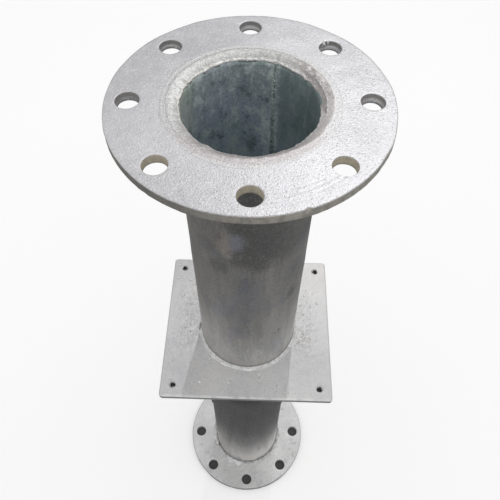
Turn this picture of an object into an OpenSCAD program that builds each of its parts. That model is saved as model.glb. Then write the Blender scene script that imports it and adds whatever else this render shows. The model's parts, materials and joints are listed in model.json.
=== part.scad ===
// Puddle flange pipe: a steel pipe with a bolt flange at each end and a square
// water-stop plate part-way along it. The plate is cast into a concrete wall or slab,
// and pipework is bolted to the two flanges. All of it is arc welded, then hot-dip galvanised.
// The origin is the centre of the lower flange face, +Z runs up the pipe, and the
// plate's sides lie along X and Y. Lengths are in millimetres and angles in degrees.

/* [Pipe] */
// Outside diameter of the pipe
pipe_od = 114.3; // [88.9:0.1:139.7]
// Wall thickness of the pipe
pipe_wall = 5.4; // [3.2:0.1:8]
// Length of the whole fitting over its two flange faces
overall_length = 830; // [500:5:1500]
// Depth of each pipe end below its flange face
end_setback = 4; // [2:0.5:5]
// Bearing of the lengthwise seam inside the pipe, counterclockwise from +X
seam_bearing = 69; // [0:1:359]
// Width of the seam bead on the bore wall
seam_width = 4.5; // [2:0.5:8]
// Height of the seam bead above the bore wall
seam_height = 0.9; // [0.4:0.1:2]
// Seating gap between the seam bead and the bore wall
seam_seat = 0.1; // [0.05:0.05:0.3]

/* [Flanges] */
// Outside diameter of each flange
flange_od = 212; // [205:1:240]
// Thickness of each flange plate
flange_thickness = 8; // [6:0.5:16]
// Radial gap between the pipe and each flange's hole
flange_slip_gap = 0.8; // [0.3:0.1:1.5]
// Radius of the worn edges of each flange rim
rim_edge_radius = 1; // [0.4:0.1:2]
// Distance from the flange rim to the centre of each bolt hole
bolt_rim_distance = 17; // [15:0.5:24]
// Number of bolt holes in each flange
bolt_count = 8; // [4:4:12]
// Diameter of the bolt holes
bolt_hole_d = 18; // [14:0.5:20]
// Width of the broken edge round each bolt hole
bolt_hole_edge = 0.4; // [0.2:0.1:1]
// Turn of both flanges' bolt holes against the plate, counterclockwise from above
flange_turn = 1.5; // [-22:0.5:22]

/* [Puddle plate] */
// Size of the plate along X
plate_width = 203; // [180:1:260]
// Size of the plate along Y
plate_depth = 192; // [180:1:260]
// Thickness of the plate
plate_thickness = 6; // [4:0.5:12]
// Radius of the plate's corners
plate_corner_radius = 4; // [1:0.5:10]
// Distance from the upper flange face down to the plate's upper side
plate_drop = 358; // [150:1:450]
// Radial gap between the pipe and the plate's hole
plate_slip_gap = 1; // [0.3:0.1:2]
// Diameter of the tie hole in each corner of the plate
tie_hole_d = 8; // [5:0.5:12]
// Distance from the plate's edges to the centre of each tie hole
tie_hole_inset = 14.5; // [10:0.5:20]

/* [Welds] */
// Width of the weld bevel on each flange face, beyond the flange's hole
face_bevel = 5; // [3:0.5:8]
// Thickness of the face weld where it ends at the bore
face_weld_lip = 1.4; // [0.8:0.1:1.8]
// Rise of the face weld above a straight slope
face_weld_crown = 0.5; // [0:0.1:0.6]
// Leg of the fillet weld behind each flange
flange_weld_leg = 6; // [4:0.5:8]
// Leg of the fillet welds on the two sides of the plate
plate_weld_leg = 4; // [3:0.5:8]
// Rise of each fillet weld above its straight face
fillet_crown = 0.6; // [0:0.1:1.2]

/* [Hidden] */
pipe_r = pipe_od / 2;
bore_r = pipe_r - pipe_wall;
pipe_bottom = end_setback;
pipe_top = overall_length - end_setback;
pipe_length = pipe_top - pipe_bottom;
flange_hole_r = pipe_r + flange_slip_gap;
bolt_circle_r = flange_od / 2 - bolt_rim_distance;
face_weld_toe_r = flange_hole_r + face_bevel;
plate_top = overall_length - plate_drop;
plate_bottom = plate_top - plate_thickness;
plate_hole_r = pipe_r + plate_slip_gap;
tie_x = plate_width / 2 - tie_hole_inset;
tie_y = plate_depth / 2 - tie_hole_inset;
seam_bead_r = (pow(seam_width / 2, 2) + pow(seam_height, 2)) / (2 * seam_height);
seam_bead_x = bore_r - seam_height + seam_bead_r;
front_bearing = -90;
weld_steps = 10;
rim_steps = 4;
seam_facets = 720;
cut = 1;
$fn = 96;

upper_zinc = [0.74, 0.75, 0.74];
lower_zinc = [0.70, 0.71, 0.69];
plate_zinc = [0.66, 0.67, 0.66];
pipe_zinc = [0.55, 0.56, 0.56];
weld_zinc = [0.50, 0.50, 0.49];

// Section of a fillet weld in the corner at [0, 0]: two legs and a crowned face
function fillet_section(leg) = concat(
    [[0, 0]],
    [for (i = [0 : weld_steps])
        let (t = i / weld_steps, rise = fillet_crown * sin(180 * t) * sqrt(0.5))
        [leg * (1 - t) + rise, leg * t + rise]]
);

// Section of a face weld, from the pipe end at height 0 up the bevel to the flange face
function face_weld_section() = concat(
    [[bore_r, 0], [flange_hole_r, 0]],
    [for (i = [0 : weld_steps])
        let (t = i / weld_steps)
        [
            face_weld_toe_r + (bore_r - face_weld_toe_r) * t,
            end_setback + (face_weld_lip - end_setback) * t + face_weld_crown * sin(180 * t)
        ]]
);

// Half section of a flange below its face at height 0: rounded rim, and bevelled hole
function flange_section() = concat(
    [
        [flange_hole_r, -flange_thickness],
        [flange_hole_r, -end_setback],
        [face_weld_toe_r, 0]
    ],
    [for (i = [0 : rim_steps])
        rim_point(-rim_edge_radius, 90 - 90 * i / rim_steps)],
    [for (i = [0 : rim_steps])
        rim_point(rim_edge_radius - flange_thickness, -90 * i / rim_steps)]
);

// Point of a rim edge, at an angle round the edge's centre at the given height
function rim_point(height, angle) = [
    flange_od / 2 - rim_edge_radius * (1 - cos(angle)),
    height + rim_edge_radius * sin(angle)
];

// Bolt hole down from a face at height 0, with a broken edge on both sides
module bolt_hole() {
    translate([0, 0, -flange_thickness - cut])
        cylinder(d = bolt_hole_d, h = flange_thickness + 2 * cut);
    translate([0, 0, -bolt_hole_edge])
        cylinder(d1 = bolt_hole_d, d2 = bolt_hole_d + 4 * bolt_hole_edge, h = 2 * bolt_hole_edge);
    translate([0, 0, -flange_thickness - bolt_hole_edge])
        cylinder(d1 = bolt_hole_d + 4 * bolt_hole_edge, d2 = bolt_hole_d, h = 2 * bolt_hole_edge);
}

// Flange with its face upwards at height 0
module flange() {
    difference() {
        rotate_extrude()
            polygon(flange_section());
        for (i = [0 : bolt_count - 1])
            rotate([0, 0, front_bearing + flange_turn + i * 360 / bolt_count])
                translate([bolt_circle_r, 0, 0])
                    bolt_hole();
    }
}

// Fillet weld round the pipe, standing on a face at height 0
module fillet_ring(leg) {
    rotate_extrude()
        translate([pipe_r, 0])
            polygon(fillet_section(leg));
}

// Weld ring that joins a pipe end at height 0 to the flange round it
module face_weld_ring() {
    rotate_extrude()
        polygon(face_weld_section());
}

// Outline of the plate, with round corners
module plate_outline() {
    square([plate_width - 2 * plate_corner_radius, plate_depth], center = true);
    square([plate_width, plate_depth - 2 * plate_corner_radius], center = true);
    for (x = [-1, 1], y = [-1, 1])
        translate([
            x * (plate_width / 2 - plate_corner_radius),
            y * (plate_depth / 2 - plate_corner_radius)
        ])
            circle(r = plate_corner_radius);
}

module pipe() {
    color(pipe_zinc)
        difference() {
            translate([0, 0, pipe_bottom])
                cylinder(r = pipe_r, h = pipe_length);
            translate([0, 0, pipe_bottom - cut])
                cylinder(r = bore_r, h = pipe_length + 2 * cut);
        }
}

module seam_bead() {
    color(weld_zinc)
        rotate([0, 0, seam_bearing])
            translate([0, 0, pipe_bottom])
                intersection() {
                    cylinder(r = bore_r - seam_seat, h = pipe_length, $fn = seam_facets);
                    translate([seam_bead_x, 0, 0])
                        cylinder(r = seam_bead_r, h = pipe_length, $fn = seam_facets);
                }
}

module upper_flange() {
    color(upper_zinc)
        translate([0, 0, overall_length])
            flange();
}

module lower_flange() {
    color(lower_zinc)
        mirror([0, 0, 1])
            flange();
}

module puddle_plate() {
    color(plate_zinc)
        difference() {
            translate([0, 0, plate_bottom])
                linear_extrude(plate_thickness)
                    plate_outline();
            translate([0, 0, plate_bottom - cut])
                cylinder(r = plate_hole_r, h = plate_thickness + 2 * cut);
            for (x = [-tie_x, tie_x], y = [-tie_y, tie_y])
                translate([x, y, plate_bottom - cut])
                    cylinder(d = tie_hole_d, h = plate_thickness + 2 * cut);
        }
}

module upper_face_weld() {
    color(weld_zinc)
        translate([0, 0, pipe_top])
            face_weld_ring();
}

module upper_back_weld() {
    color(weld_zinc)
        translate([0, 0, overall_length - flange_thickness])
            mirror([0, 0, 1])
                fillet_ring(flange_weld_leg);
}

module plate_upper_weld() {
    color(weld_zinc)
        translate([0, 0, plate_top])
            fillet_ring(plate_weld_leg);
}

module plate_lower_weld() {
    color(weld_zinc)
        translate([0, 0, plate_bottom])
            mirror([0, 0, 1])
                fillet_ring(plate_weld_leg);
}

module lower_back_weld() {
    color(weld_zinc)
        translate([0, 0, flange_thickness])
            fillet_ring(flange_weld_leg);
}

module lower_face_weld() {
    color(weld_zinc)
        translate([0, 0, pipe_bottom])
            mirror([0, 0, 1])
                face_weld_ring();
}

pipe();
seam_bead();
upper_flange();
lower_flange();
puddle_plate();
upper_face_weld();
upper_back_weld();
plate_upper_weld();
plate_lower_weld();
lower_back_weld();
lower_face_weld();
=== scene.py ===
import json

import bpy
import numpy as np
from mathutils import Matrix, Vector
from mathutils.geometry import delaunay_2d_cdt


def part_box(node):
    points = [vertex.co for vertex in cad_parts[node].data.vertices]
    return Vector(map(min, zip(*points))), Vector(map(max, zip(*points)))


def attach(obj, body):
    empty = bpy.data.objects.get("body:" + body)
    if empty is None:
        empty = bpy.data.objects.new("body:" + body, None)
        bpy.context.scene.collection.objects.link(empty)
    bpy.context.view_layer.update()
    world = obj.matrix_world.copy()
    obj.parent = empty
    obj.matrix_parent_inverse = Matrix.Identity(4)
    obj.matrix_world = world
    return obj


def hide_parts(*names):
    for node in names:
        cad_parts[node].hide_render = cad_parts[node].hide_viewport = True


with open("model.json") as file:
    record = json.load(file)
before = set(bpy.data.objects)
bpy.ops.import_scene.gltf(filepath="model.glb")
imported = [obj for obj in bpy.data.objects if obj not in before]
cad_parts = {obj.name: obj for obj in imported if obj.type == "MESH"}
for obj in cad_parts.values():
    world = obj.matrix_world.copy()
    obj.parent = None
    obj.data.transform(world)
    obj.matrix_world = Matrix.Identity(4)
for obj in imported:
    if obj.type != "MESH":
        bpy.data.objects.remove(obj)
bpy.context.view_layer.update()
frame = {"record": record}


# Pipe: welded steel tube, hot-dipped in zinc after the flanges and the plate were welded to it.
# The zinc ran down it as the work was lifted from the bath, so the outside is dull grey with upright
# streaks, and the bore has a darker, clouded, blue-green skin.
TURN = 2 * np.pi
# Lengths are in mm, but for the lamps and the camera, which are in metres.
MM = 0.001


def box_mm(node):
    """The low and high corners of a CAD node's box, in mm."""
    low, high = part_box(node)
    return low / MM, high / MM


pipe_low, pipe_high = box_mm("pipe")
pipe_r = pipe_high.x
pipe_wall = 5.4
bore_r = pipe_r - pipe_wall
pipe_turns = 240
pipe_rows = 180
seam_bearing = np.radians(69)


def swell(points, pitch, seed, waves=24):
    """Uneven swelling, about -1 to 1: a sum of plane waves in random directions, each near a pitch long."""
    draw = np.random.default_rng(seed)
    lean = draw.normal(size=(waves, 3))
    lean /= np.linalg.norm(lean, axis=1, keepdims=True)
    lean *= TURN / (pitch * draw.uniform(0.7, 1.5, (waves, 1)))
    return np.cos(points @ lean.T + draw.uniform(0, TURN, waves)).sum(-1) / waves ** 0.5


def turned(radius, height, bearing):
    """Points on circles round the pipe's axis: radius and height at each bearing, in radians."""
    radius, height, bearing = np.broadcast_arrays(radius, height, bearing)
    return np.stack([radius * np.cos(bearing), radius * np.sin(bearing), height], -1)


def grid_faces(rows, columns, close_rows=True, close_columns=True):
    """Four-cornered faces of a grid numbered row by row; a closed side joins its last line to its first."""
    i, j = np.meshgrid(
        np.arange(rows - (not close_rows)), np.arange(columns - (not close_columns)), indexing="ij"
    )
    k, m = (i + 1) % rows, (j + 1) % columns
    return np.stack([i * columns + j, k * columns + j, k * columns + m, i * columns + m], -1).reshape(-1, 4)


def surface(name, points, faces, material):
    """A smooth mesh of points in mm and their faces, given as one array for each number of corners."""
    corners = np.concatenate([part.ravel() for part in faces]).astype(np.int32)
    sizes = np.concatenate([np.full(len(part), part.shape[1]) for part in faces]).astype(np.int32)
    mesh = bpy.data.meshes.new(name)
    mesh.vertices.add(len(points))
    mesh.vertices.foreach_set("co", (points * MM).astype(np.float32).ravel())
    mesh.loops.add(len(corners))
    mesh.loops.foreach_set("vertex_index", corners)
    mesh.polygons.add(len(sizes))
    mesh.polygons.foreach_set("loop_start", np.cumsum(sizes, dtype=np.int32) - sizes)
    mesh.polygons.foreach_set("use_smooth", np.ones(len(sizes), bool))
    mesh.update(calc_edges=True)
    mesh.materials.append(material)
    made = bpy.data.objects.new(name, mesh)
    bpy.context.scene.collection.objects.link(made)
    return made


class Value:
    """A number, colour or place that a node gives over a surface; arithmetic on it adds Math nodes."""

    def __init__(self, tree, socket):
        self.tree, self.socket = tree, socket

    def node(self, kind, inputs, output=0, **settings):
        """Any other node: its settings are set first, then each of its sockets takes a value or a link."""
        made = self.tree.nodes.new(kind)
        for key, setting in settings.items():
            setattr(made, key, setting)
        for key, given in inputs.items():
            if isinstance(given, Value):
                self.tree.links.new(given.socket, made.inputs[key])
            else:
                made.inputs[key].default_value = given
        return Value(self.tree, made.outputs[output])

    def math(self, operation, first, second):
        return self.node("ShaderNodeMath", {0: first, 1: second}, operation=operation)

    def __add__(self, other):
        return self.math("ADD", self, other)

    def __sub__(self, other):
        return self.math("SUBTRACT", self, other)

    def __rsub__(self, other):
        return self.math("SUBTRACT", other, self)

    def __mul__(self, other):
        return self.math("MULTIPLY", self, other)

    __radd__ = __add__
    __rmul__ = __mul__


def start_finish(name):
    """A new material, and the place on the part, in mm, that its patterns are laid out by."""
    material = bpy.data.materials.new(name)
    material.use_nodes = True
    coordinates = material.node_tree.nodes.new("ShaderNodeTexCoord")
    place = Value(material.node_tree, coordinates.outputs["Object"])
    return material, stretched(place, 1 / MM, 1 / MM, 1 / MM)


def end_finish(material, colour, roughness, height, metallic):
    """Feeds a material's shader with its colour, roughness, relief in mm, and how metallic it is."""
    shader = material.node_tree.nodes["Principled BSDF"]
    bump = height.node("ShaderNodeBump", {"Height": height, "Distance": MM})
    feeds = {"Base Color": colour, "Roughness": roughness, "Normal": bump, "Metallic": metallic}
    for socket, given in feeds.items():
        if isinstance(given, Value):
            material.node_tree.links.new(given.socket, shader.inputs[socket])
        else:
            shader.inputs[socket].default_value = given


def stretched(place, x, y, z):
    """The place with each direction scaled; a pattern on it is drawn out where the scale is small."""
    return place.node("ShaderNodeVectorMath", {0: place, 1: (x, y, z)}, operation="MULTIPLY")


def noise(place, size, detail=2.0, roughness=0.5):
    """Cloudy noise from 0 to 1 whose blotches are about this size, in mm."""
    return place.node(
        "ShaderNodeTexNoise",
        {"Vector": place, "Scale": 1 / size, "Detail": detail, "Roughness": roughness},
    )


def mask(value, low, high):
    """0 below low and 1 above high, with a smooth step between; a high under the low turns it round."""
    return value.node(
        "ShaderNodeMapRange",
        {"Value": value, "From Min": low, "From Max": high},
        interpolation_type="SMOOTHSTEP",
    )


def tone(colour):
    """A colour as its socket takes it: a Value stays, and three numbers or one grey number become four."""
    return colour if isinstance(colour, Value) else (*np.broadcast_to(colour, 3).tolist(), 1)


def mixed(factor, first, second):
    """The first colour where the factor is 0 and the second where it is 1."""
    inputs = {0: factor, 6: tone(first), 7: tone(second)}
    return factor.node("ShaderNodeMix", inputs, output=2, data_type="RGBA")


def layered(colour, coats):
    """A colour under coats laid on in turn: each is how far it covers, from 0 to 1, and its own colour."""
    for cover, coat in coats:
        colour = mixed(cover, colour, coat)
    return colour


def axes(place):
    """A place's three numbers, each a Value."""
    split = place.node("ShaderNodeSeparateXYZ", {0: place})
    return [Value(place.tree, socket) for socket in split.socket.node.outputs]


def off_axis(place):
    """Distance from the pipe's axis."""
    across = stretched(place, 1, 1, 0)
    return across.node("ShaderNodeVectorMath", {0: across}, output="Value", operation="LENGTH")


def past_seam(place):
    """How far a place in the bore lies to the right of the seam."""
    east, north, _ = axes(place)
    return east * np.sin(seam_bearing) - north * np.cos(seam_bearing)


def spot(place, at, size, ragged, upright=1.0):
    """1 at a point and 0 further off than a size, drawn out along the pipe, with a ragged edge."""
    centre = at[0], at[1], at[2] / upright
    ends = {0: stretched(place, 1, 1, 1 / upright), 1: centre}
    away = place.node("ShaderNodeVectorMath", ends, output="Value", operation="DISTANCE")
    return mask(away + (ragged - 0.5) * (1.6 * size), size, 0.25 * size)


pipe_skin, place = start_finish("pipe_zinc_skin")
east, north, up = axes(place)
streaks = noise(stretched(place, 1, 1, 0.12), 6, 4.0, 0.6)
runs = noise(stretched(place, 1, 1, 0.3), 22, 3.0)
clouds = noise(stretched(place, 1, 1, 0.7), 34, 4.0, 0.65)
blots = noise(stretched(place, 1, 1, 0.6), 9, 3.0, 0.6)
grain = noise(stretched(place, 1, 1, 0.8), 1.7, 2.0, 0.6)

dull = (0.470, 0.465, 0.456)
pale = (0.655, 0.645, 0.622)
olive = (0.530, 0.515, 0.465)
violet = (0.430, 0.430, 0.490)
painted_reflection_white = (0.990, 0.970, 0.930)
warm_grey = (0.620, 0.580, 0.530)
plate_shadow_grey = (0.215, 0.220, 0.235)
flange_shadow_grey = (0.235, 0.235, 0.232)
at_front = mask(north, 50, 0)
at_foot = mask(up, 150, 30) * mask(east, -80, 15)
below_plate = mask(up, 480, 460)
ragged_up = up + (runs - 0.5) * 70 + (blots - 0.5) * 30 + mask(north, -52, -15) * 45
painted_plate_shadow = mask(ragged_up, 95, 215) * below_plate
painted_flange_shadow = mask(up + (clouds - 0.5) * 70, 688, 708) * mask(east + (blots - 0.5) * 40, -30, -8)
# Each mark's bearing in degrees, height and size in mm, how far it is drawn out upright, colour, strength.
pipe_marks = (
    (-110, 724, 11, 2.4, (0.80, 0.74, 0.68), 0.85),
    (-98, 730, 9, 2.0, (0.62, 0.64, 0.74), 0.8),
    (-104, 655, 8, 3.0, (0.56, 0.54, 0.50), 0.6),
    (-89, 640, 24, 2.2, (0.53, 0.54, 0.60), 0.5),
    (-115, 690, 12, 1.3, 0.28, 0.6),
    (-40, 622, 11, 1.4, 0.26, 0.5),
    # This mark and the next are painted shade: the pipe darker under the flange at the left, and low on the
    # front right.
    (-125, 735, 26, 1.6, (0.33, 0.32, 0.305), 0.35),
    (-61, 538, 22, 1.6, (0.40, 0.395, 0.385), 0.35),
    (-53.5, 553, 3.0, 1.6, (0.16, 0.16, 0.15), 0.6),
    (-57.5, 551, 2.2, 1.6, (0.16, 0.16, 0.15), 0.6),
)
streaky = streaks * 0.42 + runs * 0.26 + clouds * 0.18 + blots * 0.14
outside = layered(mixed(mask(streaky, 0.37, 0.63), dull, pale), (
    (mask(clouds, 0.50, 0.68) * 0.6, olive),
    (mask(clouds, 0.48, 0.34) * 0.6, violet),
    # Painted reflection of the lower flange on the pipe's foot, broken up by the streaks.
    (at_foot * mask(runs + streaks, 0.60, 0.98), painted_reflection_white),
    (mask(east, -10, -50) * 0.25, warm_grey),
    # Painted shadow of the plate on the lower pipe, strongest at the front, and painted shade darkest just
    # under the plate.
    (painted_plate_shadow * (0.30 + 0.48 * at_front), plate_shadow_grey),
    (mask(up, 320, 355) * below_plate * at_front * 0.75, (0.140, 0.140, 0.148)),
    # Painted shadow of the upper flange on the top of the pipe, right of its front.
    (painted_flange_shadow * (0.70 - 0.26 * mask(east, 15, 40)), flange_shadow_grey),
    (spot(place, (0, -57, 640), 26, runs, 2.4) * mask(streaks, 0.50, 0.60) * 0.6, (0.43, 0.44, 0.52)),
))
for mark_bearing, height, size, upright, colour, strength in pipe_marks:
    at = turned(pipe_r, height, np.radians(mark_bearing))
    outside = mixed(spot(place, at, size, blots, upright) * strength, outside, colour)
outside = layered(outside, (
    (mask(grain, 0.52, 0.70) * 0.32, (0.80, 0.80, 0.79)),
    (mask(grain, 0.47, 0.32) * 0.32, 0.20),
))

deep_teal = (0.285, 0.360, 0.370)
pale_teal = (0.640, 0.700, 0.680)
painted_bore_shade = (0.160, 0.212, 0.212)
slate = (0.340, 0.390, 0.470)
painted_depth_light = (0.620, 0.720, 0.800)
lime_white = (0.950, 1.000, 0.980)
bore_clouds = noise(stretched(place, 1, 1, 0.75), 12, 6.0, 0.72)
bore_patches = noise(stretched(place, 1, 1, 0.6), 30, 3.0)
deep_down = mask(up, 790, 740)
right_of_seam = mask(past_seam(place), 2, 6)
ragged_seam = past_seam(place) + (bore_clouds - 0.5) * 30
seam_band = mask(ragged_seam, -13, -4) * mask(ragged_seam, 7, 2)
flecked = 0.30 - 0.20 * right_of_seam
inside = layered(mixed(mask(bore_patches, 0.40, 0.58), deep_teal, slate), (
    # Painted light: the bore lighter further down from its top.
    (mask(up, 800, 710) * 0.80, painted_depth_light),
    (mask(up, 780, 820) * 0.30, (0.300, 0.340, 0.300)),
    (mask(bore_clouds, 0.49, 0.62) * 0.80, pale_teal),
    (mask(bore_clouds, 0.46, 0.34) * 0.78, (0.135, 0.172, 0.190)),
    (mask(streaks, 0.53, 0.66) * mask(up, 750, 800) * 0.28, pale_teal),
    (seam_band * mask(bore_clouds * 0.5 + streaks * 0.5, 0.42, 0.62) * 0.7, pale_teal),
    # Painted shade: the bore darker right of the seam, less so further down.
    (right_of_seam * (0.74 - 0.42 * deep_down), painted_bore_shade),
    (seam_band * deep_down * mask(bore_clouds, 0.38, 0.58) * 0.75, lime_white),
    (right_of_seam * mask(streaks, 0.50, 0.66) * 0.08, pale_teal),
    (mask(east, 36, 48) * mask(up, 765, 800) * 0.4, (0.085, 0.115, 0.115)),
    (mask(east, -43, -50) * mask(up, 770, 790) * 0.35, (0.600, 0.620, 0.500)),
    (spot(place, (5, 51, 806), 42, bore_clouds, 0.40) * 0.32, (0.140, 0.185, 0.195)),
    (spot(place, (-0.5, 51.5, 734), 6, bore_clouds, 2.2) * 0.55, (0.090, 0.125, 0.120)),
    (mask(grain, 0.52, 0.70) * flecked, (0.720, 0.780, 0.760)),
    (mask(grain, 0.48, 0.32) * flecked, (0.080, 0.105, 0.110)),
))
wall_side = mask(off_axis(place), bore_r + 1.5, bore_r + 3.5)
end_finish(
    pipe_skin,
    mixed(wall_side, inside, outside),
    0.62 - 0.24 * wall_side + 0.16 * clouds - 0.08 * streaks,
    grain * 0.08 + streaks * 0.10 + blots * 0.12,
    0.12 + 0.73 * wall_side,
)

bearing = np.linspace(0, TURN, pipe_turns, endpoint=False)[:, None]
rows_up = np.linspace(pipe_low.z, pipe_high.z, pipe_rows)
end_r = np.linspace(pipe_r, bore_r, 4)[1:-1]
pipe_profile_r = np.concatenate([np.full(pipe_rows, pipe_r), end_r, np.full(pipe_rows, bore_r), end_r[::-1]])
pipe_profile_z = np.concatenate([rows_up, np.full(2, rows_up[-1]), rows_up[::-1], np.full(2, rows_up[0])])
pipe_points = turned(pipe_profile_r, pipe_profile_z, bearing)
drawn_out = pipe_points * [1, 1, 0.2]
pipe_relief = 0.05 * swell(drawn_out, 10, 1) + 0.10 * swell(pipe_points, 50, 2)
pipe_points = turned(pipe_profile_r + pipe_relief, pipe_profile_z, bearing)
pipe_tube = surface(
    "pipe_tube", pipe_points.reshape(-1, 3), [grid_faces(pipe_turns, len(pipe_profile_r))], pipe_skin
)
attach(pipe_tube, "root")
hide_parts("pipe")


# Seam bead: the ridge that the tube mill left down the bore where the strip's edges were welded.
# It was never dressed, so it is uneven, with small pits along it that zinc only half filled.
seam_half_width = 2.3
seam_height = 0.9
seam_rows = 800
seam_toe = 0.15
seam_bury = 0.8
pit_pitch = 6
pit_width = 0.9
seam_low, seam_high = box_mm("seam_bead")
seam_up = np.linspace(seam_low.z, seam_high.z, seam_rows)[:, None]
seam_line = turned(0, seam_up, 0)
crest = seam_height * (0.85 + 0.18 * swell(seam_line, 5, 11) + 0.12 * swell(seam_line, 1.8, 12))
pit_up = np.arange(seam_low.z, seam_high.z, pit_pitch)
pit_up += np.random.default_rng(13).uniform(-2.4, 2.4, len(pit_up))
pits = np.exp(-((seam_up - pit_up) / pit_width) ** 2).sum(1, keepdims=True)
crest *= 1 - 0.85 * np.clip(pits, 0, 1)
wander = 0.5 * swell(seam_line, 30, 14)
across = np.linspace(1, -1, 11)
seam_r = bore_r - crest * (1 - across ** 2) + seam_toe * across ** 2
seam_across = (seam_half_width * across + wander) / bore_r
seam_back = np.array([-1, 0, 1])
seam_r = np.concatenate([seam_r, np.full((seam_rows, 3), bore_r + seam_bury)], 1)
seam_turn = np.concatenate([seam_across, (seam_half_width * seam_back + wander) / bore_r], 1)
seam_points = turned(seam_r, seam_up, seam_bearing + seam_turn)
seam_columns = seam_points.shape[1]
fan = np.arange(1, seam_columns - 1)
seam_cap = np.stack([0 * fan, fan + 1, fan], 1)
seam_end = (seam_rows - 1) * seam_columns + seam_cap[:, ::-1]

seam_skin, place = start_finish("seam_zinc_skin")
flecks = noise(place, 1.1, 2.0)
runs = noise(stretched(place, 1, 1, 0.3), 4)
seam_dark = (0.085, 0.105, 0.110)
seam_pale = (0.700, 0.740, 0.720)
from_seam = past_seam(place)
core = mask(from_seam.math("ABSOLUTE", from_seam, 0), 1.4, 0.5)
seam_colour = mixed(mask(runs, 0.35, 0.65), (0.340, 0.400, 0.400), (0.560, 0.630, 0.610))
seam_colour = layered(seam_colour, (
    (core * mask(runs, 0.42, 0.56) * 0.65, seam_dark),
    (mask(flecks, 0.44, 0.33), seam_dark),
    (mask(flecks, 0.55, 0.66), seam_pale),
))
end_finish(seam_skin, seam_colour, 0.40 + 0.25 * runs, flecks * 0.2, 0.12)
seam_ridge = surface(
    "seam_ridge",
    seam_points.reshape(-1, 3),
    [grid_faces(seam_rows, seam_columns, close_rows=False), seam_cap, seam_end],
    seam_skin,
)
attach(seam_ridge, "root")
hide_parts("seam_bead")


# Upper flange: a disc flame-cut from steel plate, drilled with eight bolt holes, slipped over the pipe
# and bevelled round its own hole for the weld. Its dipped face is bright and grainy, with fine dark
# specks; the cut rim is rougher and browner, with a nick at the front right.
upper_low, upper_high = box_mm("upper_flange")
toe_r = box_mm("upper_face_weld")[1].x
bolts = next(mount for mount in frame["record"]["mounts"] if mount["name"] == "upper_bolts")["dims"]
bolt_circle_r = bolts["pcd_mm"] / 2
bolt_hole_r = bolts["hole_r_mm"]
first_bolt = np.radians(-88.5)
flange_r = upper_high.x
flange_thick = upper_high.z - upper_low.z
flange_pitch = 1.7
bevel = 5
bevel_deep = 4
rim_edge = 0.8
hole_edge = 0.5
nick_bearing = -68.2
nick_deep = 2.2
nick_width = 1.5
brush_bearing = -62
brush_spread = 20
brush_inset = 12
brush_width = 6
brush_pitch = 4.4
brush_height = 0.11


def circle(radius, steps, centre=(0, 0)):
    """A closed loop of points round a centre, and the direction straight out from it at each."""
    turn = np.linspace(0, TURN, steps, endpoint=False)
    out = np.stack([np.cos(turn), np.sin(turn)], 1)
    return out * radius + centre, out


def within(points, loop):
    """True where a point is inside a loop: a line to its right crosses the loop an odd number of times."""
    start, end = loop, np.roll(loop, -1, 0)
    x, y = points[:, :1], points[:, 1:]
    spans = (start[:, 1] > y) != (end[:, 1] > y)
    rise = np.where(end[:, 1] == start[:, 1], 1, end[:, 1] - start[:, 1])
    crossing = start[:, 0] + (y - start[:, 1]) * (end[:, 0] - start[:, 0]) / rise
    return (spans & (x < crossing)).sum(1) % 2 == 1


def open_sheet(loops, pitch):
    """A flat sheet inside its first loop and outside the rest: a lattice of points, joined by triangles."""
    low, high = loops[0].min(0), loops[0].max(0)
    x, y = np.meshgrid(np.arange(low[0], high[0], pitch), np.arange(low[1], high[1], pitch * 0.866))
    x = x + (np.arange(len(x)) % 2)[:, None] * pitch / 2
    lattice = np.stack([x.ravel(), y.ravel()], 1)

    def on_sheet(points):
        return within(points, loops[0]) & ~np.any([within(points, loop) for loop in loops[1:]], 0)

    lattice = lattice[on_sheet(lattice)]
    edge = np.concatenate(loops)
    clear = ((lattice[:, None, 0] - edge[:, 0]) ** 2 + (lattice[:, None, 1] - edge[:, 1]) ** 2).min(1)
    points = np.concatenate([edge, lattice[clear > (0.6 * pitch) ** 2]])
    starts = np.cumsum([0] + [len(loop) for loop in loops])
    joins = np.concatenate([
        np.stack([np.arange(a, b), np.roll(np.arange(a, b), -1)], 1) for a, b in zip(starts, starts[1:])
    ])
    spread = delaunay_2d_cdt([Vector(point) for point in points], joins.tolist(), [], 0, 1e-6)
    triangles = np.array(spread[2])
    return points, triangles[on_sheet(points[triangles].mean(1))]


def round_profile(thickness, edge, wall_rows):
    """A wall's profile with both of its edges rounded: a quarter turn, a straight, and a quarter turn."""
    turn = np.linspace(0, np.pi / 2, 5)
    wall = np.linspace(thickness - edge, edge, wall_rows + 2)[1:-1]
    push = np.concatenate([edge * np.sin(turn), np.full(wall_rows, edge), edge * np.cos(turn)])
    height = np.concatenate([thickness - edge + edge * np.cos(turn), wall, edge - edge * np.sin(turn)])
    return push, height


def lipped_profile(thickness, edge, lip):
    """A hole's wall with a round top edge, and a lip of drained zinc that swells in over its lower half."""
    turn = np.linspace(0, np.pi / 2, 5)
    swollen = np.array([0, 0, 0.05, 0.35, 0.8, 1, 0.9])
    down = np.array([0.80, 0.65, 0.52, 0.42, 0.30, 0.18, 0.08])
    push = np.concatenate([edge * np.sin(turn), edge + lip * swollen, [edge / 2 + lip / 2, 0]])
    top = thickness - edge + edge * np.cos(turn)
    height = np.concatenate([top, thickness * down, [0.012 * thickness, 0]])
    return push, height


def joined(parts):
    """One mesh of several: the points that coincide become one, and quads are cut into triangles."""
    points = np.concatenate([part[0] for part in parts])
    starts = np.cumsum([0] + [len(part[0]) for part in parts])
    faces = [part[1] + start for part, start in zip(parts, starts)]
    faces = np.concatenate([
        face if face.shape[1] == 3 else np.concatenate([face[:, :3], face[:, [0, 2, 3]]]) for face in faces
    ])
    _, keep, number = np.unique(np.round(points, 6), axis=0, return_index=True, return_inverse=True)
    return points[keep], number.ravel()[faces]


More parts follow.
